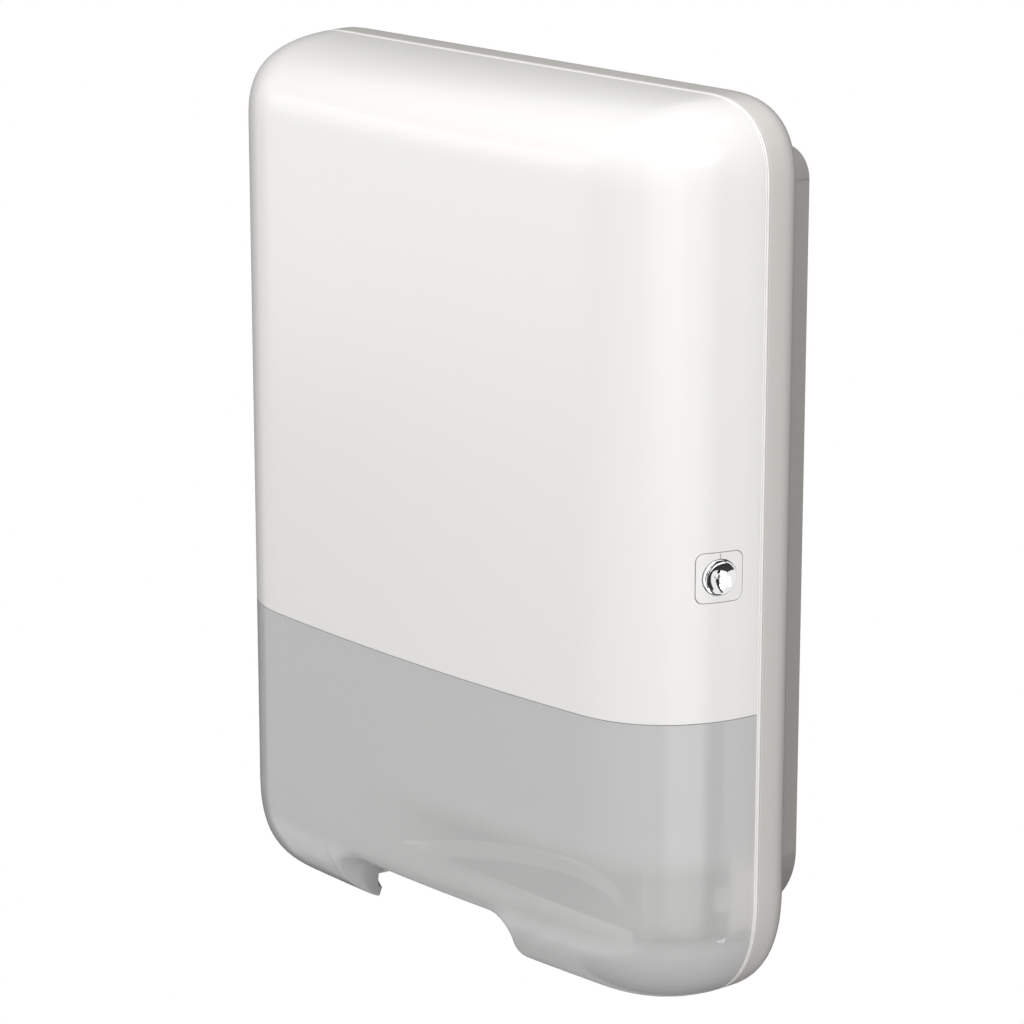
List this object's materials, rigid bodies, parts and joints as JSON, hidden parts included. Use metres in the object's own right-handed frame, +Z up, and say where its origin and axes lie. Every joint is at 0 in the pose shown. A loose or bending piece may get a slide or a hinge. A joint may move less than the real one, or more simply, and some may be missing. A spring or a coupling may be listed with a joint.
{
  "type": "folded towel dispenser",
  "caption": "Wall dispenser for folded paper towels: shallow casing, domed cover hinged at its side, grey lower window, quarter-turn side lock and exit notch below.",
  "frame": {"origin": "centre of the casing's back face, on the wall", "axes": "+X right as seen from the front, +Y into the wall, +Z up; the front faces -Y"},
  "size_m": [0.333, 0.136, 0.439],
  "materials": {
    "casing_plastic": "moulded white, satin",
    "inner_plastic": "moulded white, satin",
    "frame_plastic": "white, semi-gloss",
    "trim_plastic": "white, semi-gloss",
    "panel_plastic": "white, semi-gloss",
    "window_plastic": "smoke grey, translucent",
    "clip_plastic": "moulded white",
    "lock_zinc": "die-cast, grey",
    "lock_chrome": "polished",
    "bracket_steel": "zinc plated",
    "pin_steel": "ground",
    "screw_steel": "zinc plated"
  },
  "bodies": {
    "casing": {"rear_casing": "casing_plastic", "stack_shelf": "inner_plastic", "left_stack_guide": "inner_plastic", "right_stack_guide": "inner_plastic", "guide_screws": "screw_steel", "shelf_screws": "screw_steel", "upper_hinge_bracket": "bracket_steel", "lower_hinge_bracket": "bracket_steel", "bracket_screws": "screw_steel", "upper_hinge_pin": "pin_steel", "lower_hinge_pin": "pin_steel", "strike_plate": "bracket_steel", "strike_screws": "screw_steel"},
    "cover": {"cover_frame": "frame_plastic", "seam_trim": "trim_plastic", "front_panel": "panel_plastic", "window": "window_plastic", "panel_clips": "clip_plastic", "window_clips": "clip_plastic", "upper_cover_lug": "bracket_steel", "lower_cover_lug": "bracket_steel", "lug_screws": "screw_steel", "lock_plate": "panel_plastic", "lock_housing": "lock_zinc", "lock_screws": "screw_steel"},
    "lock": {"lock_barrel": "lock_chrome", "lock_pin": "pin_steel", "lock_cam": "bracket_steel", "cam_screw": "screw_steel"}
  },
  "joints": [
    {"name": "cover_hinge", "type": "hinge", "parent": "casing", "child": "cover", "pos_m": [-0.143, -0.0361, 0], "axis": [0, 0, -1], "range_deg": [0, 100]},
    {"name": "lock_turn", "type": "hinge", "parent": "cover", "child": "lock", "pos_m": [0.16146, -0.09148, 0.0097], "axis": [-0.9359, 0.3521, 0], "range_deg": [0, 90]}
  ]
}
